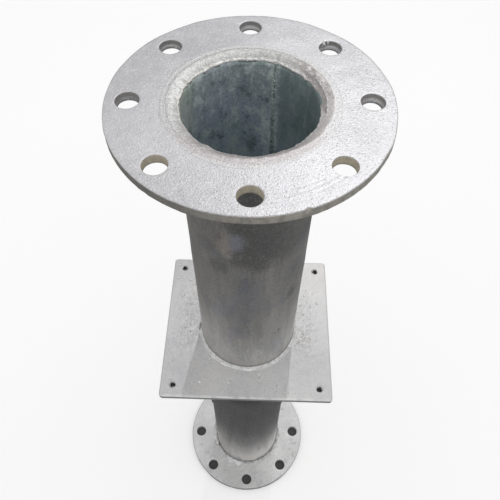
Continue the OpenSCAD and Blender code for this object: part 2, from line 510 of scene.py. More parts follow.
def drilled(top_loops, bottom_loops, bands, thickness, pitch):
    """A drilled plate on height 0: two open sheets, and along each loop a wall, pushed out by a profile."""
    top, top_faces = open_sheet(top_loops, pitch)
    bottom, bottom_faces = open_sheet(bottom_loops, pitch)
    parts = [
        (np.column_stack([top, np.full(len(top), thickness)]), top_faces),
        (np.column_stack([bottom, np.zeros(len(bottom))]), bottom_faces[:, ::-1]),
    ]
    for (loop, out), (push, height), outer in bands:
        wall = loop[:, None] + out[:, None] * push[:, None]
        wall = np.concatenate([wall, np.broadcast_to(height[:, None], wall.shape[:2] + (1,))], -1)
        faces = grid_faces(len(loop), len(push), close_columns=False)
        parts.append((wall.reshape(-1, 3), faces[:, ::-1] if outer else faces))
    return joined(parts)


rim_loop, rim_out = circle(flange_r - rim_edge, 384)
toe_loop, toe_out = circle(toe_r, 240)
slip_loop = toe_loop - toe_out * bevel
bolt_bearings = first_bolt + np.arange(8) * TURN / 8
bolt_middles = turned(bolt_circle_r, 0, bolt_bearings)[:, :2]
bolt_loops = [circle(bolt_hole_r + hole_edge, 52, middle) for middle in bolt_middles]
hole_loops = [loop for loop, _ in bolt_loops]
bevel_profile = np.array([0, 0.5, 1, 1]) * bevel, flange_thick - np.array([0, 0.5, 1, 2]) * bevel_deep


def drilled_disc(hole_profiles):
    """A flange's disc on height 0: rim, bevelled middle hole, and eight bolt holes with their profiles."""
    return drilled(
        [rim_loop, toe_loop] + hole_loops,
        [rim_loop, slip_loop] + hole_loops,
        [((rim_loop, rim_out), round_profile(flange_thick, rim_edge, 5), True)]
        + [((toe_loop, -toe_out), bevel_profile, False)]
        + [((loop, -out), profile, False) for (loop, out), profile in zip(bolt_loops, hole_profiles)],
        flange_thick,
        flange_pitch,
    )


def dipped_disc(points, seed):
    """A disc's points with the zinc's relief: low swells on both faces, and a rim that waves in and out."""
    radius = np.hypot(points[:, 0], points[:, 1])
    height = points[:, 2] / flange_thick
    face = 0.10 * swell(points, 42, seed) + 0.030 * swell(points, 9, seed + 1)
    face += 0.012 * swell(points, 4.5, seed + 2)
    face *= np.clip((radius - toe_r) / 14, 0, 1)
    rim = np.clip((radius - flange_r + 6) / 5, 0, 1)
    wave = rim * (0.20 * swell(points, 34, seed + 3) + 0.09 * swell(points, 7, seed + 4))
    grow = 1 + wave[:, None] / radius[:, None]
    return np.column_stack([points[:, :2] * grow, points[:, 2] + face * (2 * height - 1)])


def aslant(place):
    """The place turned a little about the pipe's axis, for patterns that run askew."""
    return place.node("ShaderNodeVectorRotate", {"Vector": place, "Angle": -0.7}, rotation_type="Z_AXIS")


def bright_zinc(
    name, low_z, light, shade, rim, wall, metallic, smears, shade_from, edge_from, spots,
    shift=0, arcs=0, front_shade=0,
):
    """Finish of a dipped disc: clouded bright zinc with grain and specks, painted light and shade, dirt on
    rim and walls.

    Shift moves the clouds on, so that two discs differ. Smears and arcs say how strongly those show, and
    front_shade how strongly the front left is darkened by painted shade. The back of the face has painted
    shade from shade_from on, and its edge is dark from edge_from on. The rim has painted shade on its left
    and the hole walls toward the back, and each of the spots is a patch of painted light or painted shade.
    """
    material, here = start_finish(name)
    east, north, up = axes(here)
    from_axis = off_axis(here)
    at_rim = mask(from_axis, flange_r - 5, flange_r - 2.5)
    between = mask(up, low_z + 0.3, low_z + 0.9) * mask(up, low_z + 7.75, low_z + 7.3)
    lower_at_front = up + mask(north, -5, -25) * 4
    in_hole = between * (1 - at_rim) * mask(lower_at_front, low_z + 2.8, low_z + 4.6)
    edge_line = mask(from_axis, flange_r - 1.5, flange_r - 0.6)
    edge_line = edge_line * mask(north, edge_from, edge_from + 30)
    front_left = mask(north, -45, -80) * mask(east, 20, -35)
    sandy = mask(east * 0.8 - north * 0.6, -40, 70)

    place = here.node("ShaderNodeVectorMath", {0: here, 1: (0, 0, shift)}, operation="ADD")
    clouds = noise(place, 60, 3.0)
    patches = noise(place, 14, 3.0)
    smear = noise(stretched(aslant(place), 0.55, 1.5, 1), 13, 4.0, 0.65)
    grain = noise(place, 1.5, 2.0, 0.65)
    fine = noise(place, 0.9, 1.0)
    dirt = mask(noise(stretched(place, 1, 1, 0.6), 5, 4.0, 0.65), 0.40, 0.62)
    speck = place.node("ShaderNodeTexVoronoi", {"Vector": place, "Scale": 1 / 2.4})
    dots = mask(speck, 0.28, 0.14) * mask(noise(place, 8, 2.0) + 0.27 * sandy, 0.64, 0.74)
    brush = from_axis.math("SINE", from_axis * (TURN / 3.7) + patches * 2, 0)
    brush = brush * mask(from_axis, flange_r - 26, flange_r - 16)
    brush = brush * mask(from_axis, flange_r - 3, flange_r - 8)
    brush = brush * mask(east * 0.45 - north * 0.9, 78, 94) * arcs

    rim_dirt_and_shade = layered(rim, (
        (dirt * 0.45, (0.30, 0.29, 0.26)),
        # Painted shade: the rim darker on its left.
        (mask(east, 10, -60) * 0.6, (0.20, 0.20, 0.195)),
    ))
    wall_dirt_and_shade = layered(wall, (
        # Painted shade: the hole walls greyer and darker from the front toward the back.
        (mask(north, -50, -15), (0.52, 0.51, 0.49)),
        (mask(north, 20, 60), (0.44, 0.45, 0.43)),
        (dirt * 0.25, (0.28, 0.275, 0.26)),
    ))
    colour = layered(mixed(mask(clouds * 0.6 + patches * 0.4, 0.36, 0.64), shade, light), (
        (mask(smear, 0.52, 0.66) * smears, 0.95),
        (mask(smear, 0.46, 0.34) * smears, 0.42),
        # Painted shade on the back of the face and at its front left, then the spots' painted light and
        # shade.
        (mask(north, shade_from, shade_from + 70) * 0.16, (0.34, 0.34, 0.35)),
        (front_left * front_shade, (0.34, 0.335, 0.34)),
        *((spot(here, at, size, patches) * strength, tint) for at, size, strength, tint in spots),
        (mask(grain, 0.54, 0.72) * 0.40, 0.95),
        (mask(grain, 0.46, 0.28) * 0.34, (0.40, 0.40, 0.41)),
        (sandy * mask(fine, 0.44, 0.32) * 0.70, (0.44, 0.435, 0.43)),
        (dots * 0.75, (0.26, 0.255, 0.25)),
        (edge_line * 0.6, 0.34),
        (between * at_rim * 0.9, rim_dirt_and_shade),
        (in_hole * 0.9, wall_dirt_and_shade),
        (mask(brush, 0.1, 0.9) * mask(grain, 0.30, 0.55) * 0.34, (0.46, 0.455, 0.45)),
    ))
    relief = grain * 0.24 + fine * 0.12 + patches * 0.2 + brush * 0.03
    end_finish(material, colour, 0.30 + 0.14 * patches + 0.14 * grain, relief, metallic)
    return material


# How far zinc swells into each bolt hole, from the front one round by the right.
hole_lips = np.array([0.3, 0.5, 1.7, 1.7, 1.7, 1.2, 0.8, 0.3])
upper_points, upper_faces = drilled_disc([lipped_profile(flange_thick, hole_edge, lip) for lip in hole_lips])
upper_points = dipped_disc(upper_points, 21)
upper_r = np.hypot(upper_points[:, 0], upper_points[:, 1])
upper_turn = np.degrees(np.arctan2(upper_points[:, 1], upper_points[:, 0]))
on_face = upper_points[:, 2] > flange_thick - 0.5
brushed = ((upper_turn - brush_bearing) / brush_spread) ** 2
brushed = on_face * np.exp(-brushed - ((upper_r - flange_r + brush_inset) / brush_width) ** 2)
upper_points[:, 2] += brush_height * brushed * np.sin(upper_r / brush_pitch * TURN + upper_turn / 9)
from_nick = np.radians(upper_turn - nick_bearing) * flange_r
nick_top = np.clip(upper_points[:, 2] / flange_thick * 2 - 1, 0, 1)
nick_rim = np.clip((upper_r - flange_r + 3) / 3, 0, 1)
nick = nick_deep * np.exp(-(from_nick / nick_width) ** 2) * nick_top * nick_rim
upper_points[:, :2] *= 1 - nick[:, None] / flange_r
upper_points[:, 2] += upper_low.z
upper_skin = bright_zinc(
    "upper_flange_zinc_skin",
    upper_low.z,
    light=(0.63, 0.627, 0.642),
    shade=(0.55, 0.543, 0.565),
    rim=(0.80, 0.76, 0.67),
    wall=(0.95, 0.87, 0.70),
    metallic=0.6,
    smears=0.05,
    # Painted shade on the back of the face, and with front_shade below at its front left.
    shade_from=20,
    edge_from=15,
    # Painted shade at the right and the back left, and a painted pool of light at the front left.
    spots=(
        ((88, -28, 830), 36, 0.22, 0.34),
        ((-80, -38, 830), 38, 0.13, (0.95, 0.94, 0.95)),
        ((-58, 66, 830), 48, 0.10, 0.34),
    ),
    arcs=1.0,
    front_shade=0.20,
)
upper_disc = surface("upper_flange_disc", upper_points, [upper_faces], upper_skin)
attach(upper_disc, "root")
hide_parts("upper_flange")


# Lower flange: the same disc, welded on with its face down. Its back is what shows: pale zinc that
# drained slowly off the flat and left soft smears and a few thick lumps.
lower_low, lower_high = box_mm("lower_flange")
lower_points, lower_faces = drilled_disc([round_profile(flange_thick, hole_edge, 4)] * 8)
lower_points = dipped_disc(lower_points, 31)
lower_points[:, 2] = lower_high.z - lower_points[:, 2]
lower_skin = bright_zinc(
    "lower_flange_zinc_skin",
    lower_low.z,
    light=0.675,
    shade=0.575,
    # Its rim and hole walls are painted dark grey: painted shade.
    rim=(0.36, 0.36, 0.345),
    wall=(0.30, 0.30, 0.29),
    metallic=0.4,
    smears=0.22,
    # Painted shade over all of the face but its front.
    shade_from=-85,
    edge_from=-1000,
    # Painted shade at the front right.
    spots=(((34, -92, 8), 34, 0.22, (0.34, 0.34, 0.35)),),
    shift=700,
)
lower_disc = surface("lower_flange_disc", lower_points, [lower_faces[:, ::-1]], lower_skin)
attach(lower_disc, "root")
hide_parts("lower_flange")


# Puddle plate: a square of steel plate, sheared to size, slipped down the pipe and welded on, that stops
# water creeping along the pipe in the wall. It has four small tie holes, all but closed by zinc, and a
# pale skin, crumpled on both sides of the pipe, with pimples where dross settled.
plate_low, plate_high = box_mm("puddle_plate")
plate_thick = plate_high.z - plate_low.z
plate_corner = 4
plate_edge = 0.6
plate_pitch = 1.9
plate_hole_r = pipe_r + 1
ties = next(mount for mount in frame["record"]["mounts"] if mount["name"] == "plate_ties")["dims"]
tie_x = ties["spacing_x_mm"] / 2
tie_y = ties["spacing_y_mm"] / 2
tie_r = ties["hole_r_mm"]


def round_square(half_x, half_y, corner, corner_steps, pitch):
    """A closed loop round a rectangle with round corners, and the direction straight out at each point."""
    turn = np.linspace(0, np.pi / 2, corner_steps)
    middles = np.array([(1, 1), (-1, 1), (-1, -1), (1, -1)]) * [half_x - corner, half_y - corner]
    loop, out = [], []
    for quarter, (middle, beyond) in enumerate(zip(middles, np.roll(middles, -1, 0))):
        way = turn + quarter * np.pi / 2
        ray = np.stack([np.cos(way), np.sin(way)], 1)
        steps = int(np.linalg.norm(beyond - middle) / pitch)
        share = np.linspace(0, 1, steps + 1)[1:-1, None]
        loop += [middle + ray * corner, middle + ray[-1] * corner + (beyond - middle) * share]
        out += [ray, np.repeat(ray[-1:], len(share), 0)]
    return np.concatenate(loop), np.concatenate(out)


side_loop, side_out = round_square(
    plate_high.x - plate_edge, plate_high.y - plate_edge, plate_corner - plate_edge, 7, 2.2
)
sleeve_loop, sleeve_out = circle(plate_hole_r, 240)
tie_loops = [circle(tie_r + hole_edge, 30, (x * tie_x, y * tie_y)) for x in (-1, 1) for y in (-1, 1)]
plate_loops = [side_loop, sleeve_loop] + [loop for loop, _ in tie_loops]
straight = np.zeros(3), np.linspace(plate_thick, 0, 3)
plate_points, plate_faces = drilled(
    plate_loops,
    plate_loops,
    [((side_loop, side_out), round_profile(plate_thick, plate_edge, 3), True)]
    + [((sleeve_loop, -sleeve_out), straight, False)]
    + [((loop, -out), round_profile(plate_thick, hole_edge, 3), False) for loop, out in tie_loops],
    plate_thick,
    plate_pitch,
)
plate_relief = 0.16 * swell(plate_points, 70, 41) + 0.06 * swell(plate_points, 12, 42)
plate_relief += 0.03 * swell(plate_points, 5, 43)
beside_pipe = ((np.abs(plate_points[:, 0]) - 78) / 13) ** 2
crumpled = np.exp(-beside_pipe - (plate_points[:, 1] / 42) ** 2)
plate_relief += 0.42 * crumpled * swell(plate_points, 6, 44)
plate_points[:, 2] += plate_low.z + plate_relief * (2 * plate_points[:, 2] / plate_thick - 1)

plate_skin, place = start_finish("plate_zinc_skin")
east, north, up = axes(place)
sideways = east.math("ABSOLUTE", east, 0)
clouds = noise(place, 70, 3.0)
patches = noise(place, 11, 3.0)
grain = noise(place, 1.9, 2.0, 0.65)
wrinkles = noise(stretched(aslant(place), 0.65, 1.25, 1), 4.2, 4.0, 0.62)
plate_dull = (0.57, 0.57, 0.59)
plate_pale = (0.665, 0.665, 0.66)
painted_sheen_white = (0.95, 0.94, 0.92)
rust_brown = (0.40, 0.36, 0.33)
at_right = mask(east, -20, 60)
at_back = mask(north, 0, 70)
pitted = spot(place, (71, -17, 472), 13, patches)
side_line = mask(sideways, plate_high.x - 1.7, plate_high.x - 0.7)
painted_front_highlight = mask(north, 3.6 - plate_high.y, 1.8 - plate_high.y) * mask(patches, 0.30, 0.52)
side_wall = mask(up, plate_low.z + 0.2, plate_low.z + 0.8)
side_wall = side_wall * mask(up, plate_high.z - 0.35, plate_high.z - 0.9)
painted_side_shade = mask(sideways, 40, 65) * mask(north, -10, -55)
wrinkled = mask(sideways, 56, 64) * mask(sideways, 92, 72)
wrinkled = wrinkled * mask(north, 66, 34) * mask(north, -44, -26)
plate_colour = mixed(mask(clouds * 0.65 + patches * 0.35, 0.36, 0.64), plate_dull, plate_pale)
plate_colour = layered(plate_colour, (
    (mask(noise(place, 45, 2.0), 0.50, 0.66) * 0.4, (0.66, 0.63, 0.62)),
    (mask(grain, 0.54, 0.72) * 0.35, 0.88),
    (mask(grain, 0.45, 0.30) * 0.35, 0.36),
    (pitted * mask(grain, 0.56, 0.46) * 0.6, rust_brown),
    # Painted sheen on the right of the plate, stronger at the back.
    (at_right * (0.12 + 0.10 * at_back), painted_sheen_white),
    # Painted shade at the back of the plate, mostly on the left.
    (at_back * (0.26 - 0.20 * at_right), 0.36),
    # Painted light in the front middle, inside the pipe's cast shadow.
    (spot(place, (0, -84, 472), 60, patches) * 0.10, (0.92, 0.92, 0.93)),
    (side_line * 0.5, 0.40),
    # Painted highlight along the front edge, broken into dashes.
    (painted_front_highlight * 0.5, 0.97),
    (side_wall * 0.8, (0.44, 0.44, 0.435)),
    # Painted shade at the front, on both sides of the pipe's cast shadow.
    (painted_side_shade * 0.14, (0.36, 0.36, 0.365)),
    # Painted glints on the crests of the crumples.
    (wrinkled * mask(wrinkles, 0.53, 0.63) * 0.34, 0.97),
))
end_finish(
    plate_skin,
    plate_colour,
    0.36 + 0.18 * patches + 0.10 * grain - 0.14 * wrinkled,
    grain * 0.18 + patches * 0.3 + wrinkled * wrinkles * 1.6,
    0.45,
)
plate_sheet = surface("puddle_plate_sheet", plate_points, [plate_faces], plate_skin)
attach(plate_sheet, "root")
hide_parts("puddle_plate")


# Fillet welds: hand-laid beads that hold the plate and the flanges' backs to the pipe, one on each side.
# Each is a ring of overlapping ripples with wandering toes and a thick spot where the bead was started,
# under the same coat of zinc.
weld_turns = 720
weld_steps = 12
weld_bury = 0.4
weld_crown = 0.6
ripple_pitch = 3.4


def bump_at(turn, bearing, width):
    """1 at a bearing in degrees, falling off to both sides as a bell of this width in mm round the pipe."""
    away = (turn - np.radians(bearing) + np.pi) % TURN - np.pi
    return np.exp(-(away * pipe_r / width) ** 2)


def fillet_bead(leg, seed, rough, lumps):
    """A fillet ring in the corner of pipe and plate, on height 0: a rippled face between wandering toes."""
    turn = np.linspace(0, TURN, weld_turns, endpoint=False)[:, None]
    line = turned(pipe_r, 0, turn)
    thick = leg * (1 + sum(size * bump_at(turn, at, width) for at, size, width in lumps))
    foot = thick * (1 + rough * (0.14 * swell(line, 16, seed) + 0.06 * swell(line, 5, seed + 1)))
    climb = thick * (1 + rough * (0.14 * swell(line, 19, seed + 2) + 0.06 * swell(line, 5, seed + 3)))
    along = np.linspace(0, 1, weld_steps)
    ripple = turn * pipe_r / ripple_pitch * TURN + 5 * (along - 0.5) ** 2
    ripple = ripple + 2.5 * swell(line, 25, seed + 4)
    rise = weld_crown * (1 + 0.35 * swell(line, 11, seed + 5)) + 0.10 * rough * np.cos(ripple)
    rise = rise * np.sin(np.pi * along) / 2 ** 0.5
    bury = np.full_like(foot, -weld_bury)
    out = np.concatenate([foot + weld_bury, foot * (1 - along) + rise, bury, bury], 1)
    height = np.concatenate([bury, climb * along + rise, climb + weld_bury, bury], 1)
    return turned(pipe_r + out, height, turn), grid_faces(weld_turns, weld_steps + 3)


# Spots of painted shade on the beads at the pipe's left: where each is and its size, in mm.
painted_shade_spots = (((-60.5, -4, 474), 7), ((-57, -8, 14), 5), ((-51, -27, 14), 6), ((-41, -42, 14), 5))


def bead_zinc(name, shade, light, painted_toe_highlight, painted_shade_width):
    """Finish of a fillet: lumpy zinc between two greys, a painted highlight at its outer toe, painted shade
    by the pipe.
    """
    material, place = start_finish(name)
    lumps = noise(place, 5, 3.0, 0.6)
    crumbs = noise(place, 1.4, 2.0)
    from_pipe = off_axis(place)
    colour = layered(mixed(mask(lumps, 0.32, 0.62), shade, light), (
        # Painted highlight at the outer toe, then painted shade along the pipe and in spots.
        (mask(from_pipe, pipe_r + 2.2, pipe_r + 4.0) * painted_toe_highlight, 0.95),
        (mask(crumbs, 0.44, 0.32) * 0.35, (0.25, 0.245, 0.24)),
        (mask(from_pipe, pipe_r + painted_shade_width, pipe_r + 0.3) * 0.8, 0.12),
        *((spot(place, at, size, lumps) * 0.75, 0.10) for at, size in painted_shade_spots),
    ))
    end_finish(material, colour, 0.24 + 0.20 * lumps, lumps * 0.2 + crumbs * 0.15, 0.7)
    return material


plate_bead_skin = bead_zinc("plate_weld_zinc_skin", (0.46, 0.46, 0.455), (0.70, 0.70, 0.69), 0.75, 1.3)
flange_bead_skin = bead_zinc("flange_weld_zinc_skin", 0.28, 0.58, 0.3, 3.2)
# Each bead's thick spots: bearing in degrees, added share of its leg, width in mm.
upper_back_lumps = ((20, 0.3, 6),)
plate_upper_lumps = ((188, 0.35, 3.5), (-132, 0.35, 4), (-118, 0.2, 3))
plate_lower_lumps = ((-150, 0.4, 6),)
lower_back_lumps = (
    (-150, 0.35, 4), (-138, 0.30, 3), (-126, 0.35, 3), (-104, 0.2, 4), (-60, 0.2, 6), (170, 0.3, 8)
)
for node_name, piece_name, stands_on, upwards, rough, seed, lumps, bead_skin in (
    ("upper_back_weld", "upper_back_bead", upper_low.z, -1, 1.0, 51, upper_back_lumps, flange_bead_skin),
    ("plate_upper_weld", "plate_upper_bead", plate_high.z, 1, 0.45, 61, plate_upper_lumps, plate_bead_skin),
    ("plate_lower_weld", "plate_lower_bead", plate_low.z, -1, 1.2, 71, plate_lower_lumps, plate_bead_skin),
    ("lower_back_weld", "lower_back_bead", lower_high.z, 1, 1.8, 81, lower_back_lumps, flange_bead_skin),
):
    bead_low, bead_high = box_mm(node_name)
    bead_leg = bead_high.z - bead_low.z
    bead_points, bead_faces = fillet_bead(bead_leg, seed, rough, lumps)
    bead_points = bead_points.reshape(-1, 3) * [1, 1, upwards] + [0, 0, stands_on]
    bead = surface(piece_name, bead_points, [bead_faces[:, ::upwards]], bead_skin)
    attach(bead, "root")
    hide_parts(node_name)


# Face welds: a wide bead that fills the bevel between each pipe end and the flange face. It was brushed
# flush where it meets the face, which left a faint ridge there, and it runs down over the end of the pipe
# to a ragged lip on the bore. The right of the upper one is rougher and browner, with a torn ledge.
collar_r = toe_r + 3.6
lip_roll = 1.2
lip_deep = 1.5
slope_toe_r = toe_r - 1.3
slope_sink = 2.7
ledge_drop = 0.9
front_narrowing = 4.4


def face_bead(seed, tear, notches):
    """A face-weld ring under a face at height 0: a flush collar, a crowned slope and a ragged rolled lip.

    The collar has a fine ridge. The slope falls as a power of the share of the way from toe to lip, and its
    toe draws in at the front. Tear, from 0 to 1, gives its right side a torn hump and a ledge above the lip.
    """
    turn = np.linspace(-np.pi, np.pi, weld_turns, endpoint=False)[:, None]
    line = turned(bore_r, 0, turn)
    toe = slope_toe_r - front_narrowing * bump_at(turn, -76, 56)
    toe = toe + 0.35 * swell(line, 30, seed) + 0.22 * swell(line, 6, seed + 1)
    ragged = 0.35 * swell(line, 13, seed + 2) + 0.22 * swell(line, 4.5, seed + 3)
    ragged = ragged + sum(depth * bump_at(turn, at, width) for at, depth, width in notches)
    lip = bore_r + ragged - 0.15
    torn = tear * bump_at(turn, 34, 13)
    ledge = tear * np.clip((np.cos(turn - np.radians(16)) - 0.90) / 0.03, 0, 1)
    ledge_edge = 0.62 + 0.05 * swell(line, 7, seed + 9)
    right = np.clip(np.cos(turn - np.radians(5)), 0, 1)
    back_left = np.clip(np.cos(turn - np.radians(150)), 0, 1)

    out = np.linspace(1, 0, 21)[:-1]
    ring_r = toe + (collar_r - toe) * out
    fine_line = 0.02 + 0.06 * back_left * (1 + 0.4 * swell(line, 30, seed + 7))
    ring_z = 0.03 + fine_line * np.exp(-((ring_r - toe_r - 1.6) / 0.55) ** 2)
    ring_z = ring_z + 0.10 * right * np.exp(-((ring_r - toe) / 1.2) ** 2)
    ring_z = ring_z * np.minimum(1, (1 - out) * 14)

    along = np.linspace(0, 1, 26)
    slope_r = toe + (lip + lip_roll - toe) * along
    sink = slope_sink * (1 + 0.12 * swell(line, 22, seed + 4))
    slope_z = ring_z[:, -1:] * (1 - along) - sink * along ** (1.7 - 0.6 * right)
    slope_z = slope_z + (0.10 + 0.15 * right) * np.sin(np.pi * along)
    grid = turned(slope_r, slope_z, turn)
    hump = torn * (0.8 + 0.5 * swell(line, 5, seed + 8)) * np.exp(-((along - 0.45) / 0.13) ** 2)
    lumpy = 0.035 * swell(grid, 3.2, seed + 5) + (0.045 + 0.22 * torn) * swell(grid, 6.5, seed + 6)
    slope_z = slope_z + hump + lumpy * np.sin(np.pi * along) ** 0.4
    slope_z = slope_z - ledge_drop * ledge * np.clip((along - ledge_edge) / 0.06, 0, 1)

    corner = np.linspace(0, np.pi / 2, 6)[1:]
    roll_r = lip + lip_roll * (1 - np.sin(corner))
    roll_z = slope_z[:, -1:] - lip_roll * (1 - np.cos(corner))
    under = roll_z[:, -1:] - lip_deep
    inner = np.full_like(lip, bore_r + 2)
    all_r = np.concatenate([0 * toe + collar_r, ring_r, slope_r, roll_r, lip + 0.4, inner], 1)
    all_z = np.concatenate([0 * toe - weld_bury, ring_z, slope_z, roll_z, under, under], 1)
    across = np.concatenate([[-1], -out, along, np.ones(7)])
    across = np.broadcast_to(across, all_r.shape)
    return turned(all_r, all_z, turn), grid_faces(weld_turns, all_r.shape[1]), across


face_skin, place = start_finish("face_weld_zinc_skin")
east, north, _ = axes(place)
across_weld = place.node("ShaderNodeAttribute", {}, output="Fac", attribute_name="across_weld")
strokes = noise(place, 2.6, 3.0, 0.6)
lumps = noise(place, 6, 3.0, 0.6)
grain = noise(place, 1.2, 2.0, 0.65)
weld_dull = (0.45, 0.45, 0.445)
weld_pale = 0.61
weld_brown = (0.57, 0.54, 0.53)
weld_rose = (0.47, 0.43, 0.43)
weld_tan = (0.50, 0.475, 0.42)
crumb_brown = (0.33, 0.305, 0.285)
ledge_brown = (0.30, 0.272, 0.26)
collar_grey = (0.585, 0.58, 0.588)
collar_rose = (0.50, 0.465, 0.47)
right_side = mask(east * 0.99 + north * 0.1, 15, 46)
ledge_side = mask(east * 0.96 + north * 0.28, 48, 50.5)
crumbly = mask(east * 0.83 + north * 0.56, 51, 54)
front_side = mask(north, -22, -46)
on_ledge = ledge_side * mask(across_weld + (lumps - 0.5) * 0.2, 0.60, 0.68)
painted_ledge_highlight = ledge_side * mask(across_weld, 0.48, 0.56) * mask(across_weld, 0.66, 0.60)
painted_ledge_highlight = painted_ledge_highlight * mask(strokes, 0.40, 0.56)
painted_lip_highlight = mask(across_weld, 0.84, 0.95) * mask(north, 24, 42) * mask(strokes, 0.36, 0.56)
tan_lip = mask(east, -20, -45) * mask(across_weld, 0.75, 1.0)
on_bead = mask(across_weld, -0.03, 0.05)
bead_colour = layered(mixed(mask(strokes * 0.5 + lumps * 0.5, 0.36, 0.64), weld_dull, weld_pale), (
    (right_side * 0.7, weld_brown),
    (front_side * 0.8, weld_rose),
    # Painted shade on the back of the ring.
    (mask(north, 22, 48) * 0.6, (0.41, 0.41, 0.405)),
    (crumbly * mask(lumps, 0.58, 0.44) * 0.6, crumb_brown),
    (on_ledge * 0.8, ledge_brown),
    # Painted highlight on the crest above the ledge.
    (painted_ledge_highlight * 0.6, (0.92, 0.905, 0.88)),
    # Painted highlight along the lip at the back.
    (painted_lip_highlight * 0.5, (0.90, 0.90, 0.88)),
    (tan_lip * 0.4, weld_tan),
))
collar_colour = mixed(front_side * mask(across_weld, -0.75, -0.45) * 0.9, collar_grey, collar_rose)
face_colour = layered(mixed(on_bead, collar_colour, bead_colour), (
    (mask(grain, 0.46, 0.30) * 0.65, (0.30, 0.29, 0.285)),
    (mask(grain, 0.55, 0.72) * 0.55, 0.97),
))
end_finish(
    face_skin,
    face_colour,
    0.34 + 0.14 * lumps + 0.10 * grain,
    (strokes + lumps) * 0.2 * on_bead + grain * 0.28,
    0.6,
)
# Each notch in a lip: bearing in degrees, how far it draws the lip back in mm, width in mm.
seam_notch = (69.5, 1.4, 1.2)
upper_notches = (
    seam_notch, (156, 1.3, 1.4), (-62, -0.8, 3), (-50, -0.9, 2.6), (-14, -0.7, 1.5), (-100, -0.5, 4)
)
for node_name, piece_name, face_z, upwards, seed, tear, notches in (
    ("upper_face_weld", "upper_face_bead", upper_high.z, 1, 91, 1.0, upper_notches),
    ("lower_face_weld", "lower_face_bead", lower_low.z, -1, 101, 0.0, (seam_notch,)),
):
    bead_points, bead_faces, bead_across = face_bead(seed, tear, notches)
    bead_points = bead_points.reshape(-1, 3) * [1, 1, upwards] + [0, 0, face_z]
    bead = surface(piece_name, bead_points, [bead_faces[:, ::upwards]], face_skin)
    bead.data.attributes.new("across_weld", "FLOAT", "POINT").data.foreach_set("value", bead_across.ravel())
    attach(bead, "root")
    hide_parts(node_name)


# Zinc lumps: drops and pimples of the coat. Dross settled on the top of the plate and on the lower
# flange, and drops froze on the walls of five bolt holes in the upper flange.
drop_rings = 5
drop_sides = 10


def drops(name, centre, scale, material):
    """Small closed lumps: each is a sphere of rings and two poles, drawn out by a scale and made uneven."""
    tilt = np.radians(np.linspace(-60, 60, drop_rings))
    around = np.linspace(0, TURN, drop_sides, endpoint=False)
    rings = turned(np.cos(tilt)[:, None], np.sin(tilt)[:, None], around).reshape(-1, 3)
    ball = np.concatenate([rings, [[0, 0, -1], [0, 0, 1]]])
    points = centre[:, None] + ball * scale[:, None]
    points = centre[:, None] + (points - centre[:, None]) * (1 + 0.18 * swell(points, 2.2, 111))[..., None]
    step = np.arange(drop_sides)
    beside = (step + 1) % drop_sides
    top_ring = len(rings) - drop_sides
    side = grid_faces(drop_rings, drop_sides, close_rows=False)[:, ::-1]
    caps = np.concatenate([
        np.stack([0 * step + len(rings), beside, step], 1),
        np.stack([0 * step + len(rings) + 1, top_ring + step, top_ring + beside], 1),
    ])
    first = np.arange(len(centre))[:, None, None] * len(ball)
    faces = [(side + first).reshape(-1, 4), (caps + first).reshape(-1, 3)]
    return surface(name, points.reshape(-1, 3), faces, material)


pimple_skin, place = start_finish("pimple_zinc_skin")
crumbs = noise(place, 1.6, 2.0)
pimple_colour = mixed(mask(crumbs, 0.36, 0.60), (0.50, 0.50, 0.49), 0.86)
end_finish(pimple_skin, pimple_colour, 0.20 + 0.20 * crumbs, crumbs * 0.1, 0.6)

# The large pimples stand where they do on the real plate, and the small ones are scattered, all in mm.
draw = np.random.default_rng(121)
plate_marks = np.array([
    (-86, 40), (-89, 7), (-85, -10), (-76, -25), (-83, -14), (-45, -47), (-39, -51), (-55, -77), (-20, -77),
    (15, -65), (16, -70), (15, -73), (34, -65), (38, -80), (46, -87), (51, -87), (28, -94), (72, 44),
    (66, 29), (-94, 87), (-95, 66), (-89, -76), (-89, -51), (74, -5), (64, -22), (71, -18), (78, -16),
    (68, -14), (88, 33), (70, 16), (-70, 7), (-68, 20), (-74, -4), (-76, -15), (-76, -26), (-71, -33),
    (-69, -17), (-74, -22), (-94, -15), (-78, 63), (-72, 58),
])
pimples = np.concatenate([
    draw.uniform((-97, -90), (97, 92), (90, 2)),
    draw.normal((-78, -8), (9, 22), (34, 2)),
    draw.normal((-72, -4), (4, 17), (40, 2)),
    draw.normal((75, 2), (8, 24), (34, 2)),
])
clear = np.hypot(*pimples.T) > pipe_r + 6
clear &= np.abs(pimples[:, 0]) < 98
clear &= np.hypot(np.abs(pimples[:, 0]) - tie_x, np.abs(pimples[:, 1]) - tie_y) > tie_r + 2
pimples = pimples[clear]
lump_at = np.concatenate([plate_marks, pimples])
lump_r = np.concatenate([draw.uniform(1.1, 1.9, len(plate_marks)), draw.uniform(0.4, 1.1, len(pimples))])
lump_at = np.column_stack([lump_at, np.full(len(lump_at), plate_high.z - 0.05)])
lump_scale = lump_r[:, None] * draw.uniform((0.8, 0.8, 0.5), (1.3, 1.3, 0.8), (len(lump_r), 3))
plate_pimples = drops("plate_pimples", lump_at, lump_scale, pimple_skin)
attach(plate_pimples, "root")

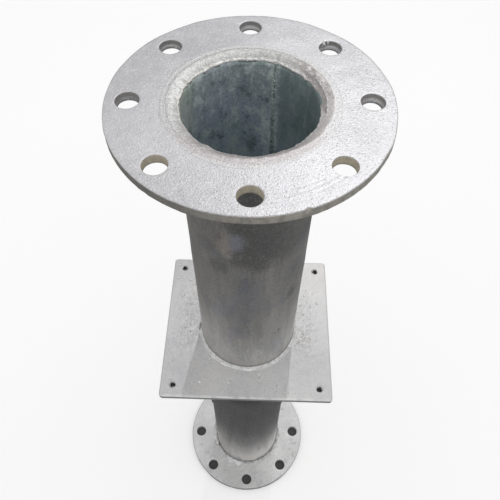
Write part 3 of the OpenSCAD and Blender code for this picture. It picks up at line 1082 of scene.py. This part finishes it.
# Each lump's place and half-lengths on the lower flange, in mm.
flange_lumps = np.array([
    (90, -21, 5.5, 3), (87, -14, 3.5, 2.5), (85, -32, 4.5, 2.5), (90, -42, 3, 5), (-75, -43, 5, 2),
    (-63, -51, 5.5, 2), (-36, -76, 4.5, 2), (-12, -76, 2.5, 2.5), (-87, -28, 3, 2), (-23, -70, 3.5, 2),
    (30, -93, 2.5, 2), (77, -54, 2.5, 4), (-48, 76, 2.5, 2), (70, 46, 3, 2),
])
lump_at = np.column_stack([flange_lumps[:, :2], np.full(len(flange_lumps), lower_high.z)])
lump_scale = np.column_stack([flange_lumps[:, 2:], np.full(len(flange_lumps), 1.0)])
flange_pimples = drops("lower_flange_pimples", lump_at, lump_scale, lower_skin)
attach(flange_pimples, "root")

# Each drop's hole and bearing in it, in degrees, then its height, half-width and half-height in mm.
hole_drops = np.array([
    (46.5, 122, -2.4, 1.9, 3.2), (46.5, 98, -1.8, 1.2, 2.0), (46.5, 20, -5.2, 1.0, 1.0),
    (46.5, 75, -6.2, 1.3, 1.1), (46.5, 48, -6.6, 1.1, 1.0), (91.5, 78, -6.6, 1.5, 1.1),
    (91.5, 104, -6.6, 1.3, 1.0), (1.5, 40, -6.4, 1.2, 0.9), (181.5, 100, -6.4, 1.2, 0.9),
    (136.5, 70, -6.4, 1.4, 0.8),
])
hole, wall_way = np.radians(hole_drops[:, :2]).T
drop_at = turned(bolt_circle_r, 0, hole) + turned(bolt_hole_r - 0.2, 0, wall_way)
drop_at[:, 2] = upper_high.z + hole_drops[:, 2]
drop_scale = hole_drops[:, [3, 3, 4]]
bolt_hole_drops = drops("bolt_hole_drops", drop_at, drop_scale, pimple_skin)
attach(bolt_hole_drops, "root")


# Tie-hole crusts: zinc and dross that dried in the plate's four small holes and all but closed them. Each is
# a pale ragged skin just under the top, with a pocket below its opening that narrows to a pin hole; the
# pocket is painted near-black, as painted shade.
crust_turns = 48
crust_skin, place = start_finish("tie_hole_crust_skin")
crumbs = noise(place, 1.4, 3.0)
near_top = mask(axes(place)[2], plate_high.z - 1.3, plate_high.z - 0.8)
# Painted shade: the pocket under the crust's pale top is near-black.
crust_colour = mixed(mask(crumbs, 0.45, 0.70), 0.040, (0.14, 0.14, 0.135))
crust_colour = mixed(near_top * mask(crumbs, 0.25, 0.50), crust_colour, (0.52, 0.52, 0.51))
end_finish(crust_skin, crust_colour, 0.55 + 0.2 * crumbs, crumbs * 0.3, 0.3)
crust_turn = np.linspace(0, TURN, crust_turns, endpoint=False)[:, None]
crust_depth = np.array([-0.35, -0.6, -1.5, -3.0, -3.6, -4.4])
crust_points, crust_faces = [], []
for number, (x, y) in enumerate((x, y) for x in (-1, 1) for y in (-1, 1)):
    line = turned(tie_r, number * 100, crust_turn)
    lobes = 0.13 * np.cos(crust_turn - 0.9 - number * 1.7) + 0.09 * np.cos(3 * crust_turn + number * 1.1)
    opening = 0.76 + lobes + 0.06 * swell(line, 4, 131 + number)
    opening = tie_r * np.clip(opening, 0.4, 0.95)
    pin_hole = np.full_like(opening, 0.05 * tie_r)
    edge = np.full_like(opening, tie_r + 0.3)
    crust_r = np.concatenate([edge, opening, opening, pin_hole, pin_hole, edge], 1)
    ring = turned(crust_r, crust_depth + plate_high.z, crust_turn) + [x * tie_x, y * tie_y, 0]
    crust_points.append(ring.reshape(-1, 3))
    crust_faces.append(grid_faces(crust_turns, len(crust_depth))[:, ::-1] + number * crust_r.size)
tie_hole_crusts = surface("tie_hole_crusts", np.concatenate(crust_points), crust_faces, crust_skin)
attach(tie_hole_crusts, "root")


# Studio: a pale floor, dark only where the lower flange stands on it as a painted shadow, and an even sky
# that is darker below the horizon. A small lamp behind the part, with a twin for the plate alone, throws the
# pipe's shadow on the plate, and a broad lamp further to the right gives the sheen on all but the plate.
floor_half = 40000
floor_glow = 0.25
floor_points = np.array([[-1, -1, 0], [1, -1, 0], [1, 1, 0], [-1, 1, 0]]) * floor_half
floor_paint, place = start_finish("pale_floor")
floor_tone = noise(place, 900)
# Painted shadow: the floor near-black under the lower flange.
beyond_painted_shadow = mask(off_axis(place), flange_r - 6, flange_r - 1)
floor_colour = mixed(beyond_painted_shadow, 0.06, mixed(floor_tone, 0.88, 0.90))
end_finish(floor_paint, floor_colour, 0.8 + 0.1 * floor_tone, floor_tone * 0.1, 0.0)
floor_shader = floor_paint.node_tree.nodes["Principled BSDF"]
floor_paint.node_tree.links.new(floor_colour.socket, floor_shader.inputs["Emission Color"])
floor_shader.inputs["Emission Strength"].default_value = floor_glow
floor = surface("studio_floor", floor_points, [np.array([[0, 1, 2, 3]])], floor_paint)
floor.visible_diffuse = False
floor.visible_glossy = False

sky = bpy.data.worlds.new("studio_sky")
sky.use_nodes = True
bpy.context.scene.world = sky
sky_ray = Value(sky.node_tree, sky.node_tree.nodes.new("ShaderNodeTexCoord").outputs["Generated"])
sky_east, sky_north, sky_height = axes(sky_ray)
sky_level = 0.16 + 0.74 * mask(sky_height, -0.20, 0.20) - 0.12 * mask(sky_height, 0.3, 0.9)
sky_level = sky_level + 0.05 * sky_east * mask(sky_height, 0.0, 0.3)
sky_level = sky_level - 0.32 * mask(sky_north, 0.55, 0.92) * mask(sky_height, 0.0, 0.2)
sky_level = sky_level - 0.09 * mask(sky_height * -0.66 - sky_north * 0.75, 0.95, 0.99)
sky_level = sky_level - 0.08 * mask(sky_height, -0.88, -0.97)
sky_colour = sky_level.node("ShaderNodeCombineXYZ", {0: sky_level, 1: sky_level, 2: sky_level})
sky.node_tree.links.new(sky_colour.socket, sky.node_tree.nodes["Background"].inputs["Color"])

lamp_aim = Vector((0, 0, 0.65))
lamp_distance = 2.4
plate_pieces = (plate_sheet, plate_pimples, tie_hole_crusts, bpy.data.objects["plate_upper_bead"])
# Each lamp's bearing from the back and height in degrees, size, power, whether it lights matt surfaces, and
# whether it lights only the pieces on the plate or all but those.
for lamp_name, from_back, above, lamp_size, lamp_power, on_matt, state in (
    ("back_lamp", 8, 57, 0.04, 3.8, True, None),
    ("plate_lamp", 8, 57, 0.04, 3.2, True, "INCLUDE"),
    ("glare_lamp", 29, 54, 0.78, 10.0, False, "EXCLUDE"),
):
    swing, tilt = np.radians(from_back), np.radians(above)
    lamp_way = Vector((np.sin(swing) * np.cos(tilt), np.cos(swing) * np.cos(tilt), np.sin(tilt)))
    lamp_light = bpy.data.lights.new(lamp_name, "AREA")
    lamp_light.shape = "DISK"
    lamp_light.size = lamp_size
    lamp_light.energy = lamp_power
    lamp = bpy.data.objects.new(lamp_name, lamp_light)
    lamp.location = lamp_aim + lamp_way * lamp_distance
    lamp.rotation_euler = lamp_way.to_track_quat("Z", "Y").to_euler()
    lamp.visible_diffuse = on_matt
    bpy.context.scene.collection.objects.link(lamp)
    if state:
        reach = bpy.data.collections.new(lamp_name + "_reach")
        lamp.light_linking.receiver_collection = reach
        for piece in plate_pieces:
            reach.objects.link(piece)
        for held in reach.collection_objects:
            held.light_linking.link_state = state


# Camera: held over the upper flange at arm's length, looking down the front of the pipe. Its place, its
# direction and its lens follow from how the flanges' rims and the plate's edges lie in the photo.
eye = Vector((0.0065, -0.3108, 1.0943))
look = Vector((-0.0095, 0.5640, -0.8257)).normalized()
right = Vector((0.9996, 0.0284, 0.0079))
right = (right - look * right.dot(look)).normalized()
camera_data = bpy.data.cameras.new("camera")
camera_data.lens = 39.26
camera_data.sensor_width = 36
camera_data.clip_start = 0.01
camera = bpy.data.objects.new("camera", camera_data)
camera_turn = Matrix((right, right.cross(look), -look)).transposed().to_4x4()
camera.matrix_world = Matrix.Translation(eye) @ camera_turn
bpy.context.scene.collection.objects.link(camera)
bpy.context.scene.camera = camera
bpy.context.scene.view_settings.view_transform = "Standard"
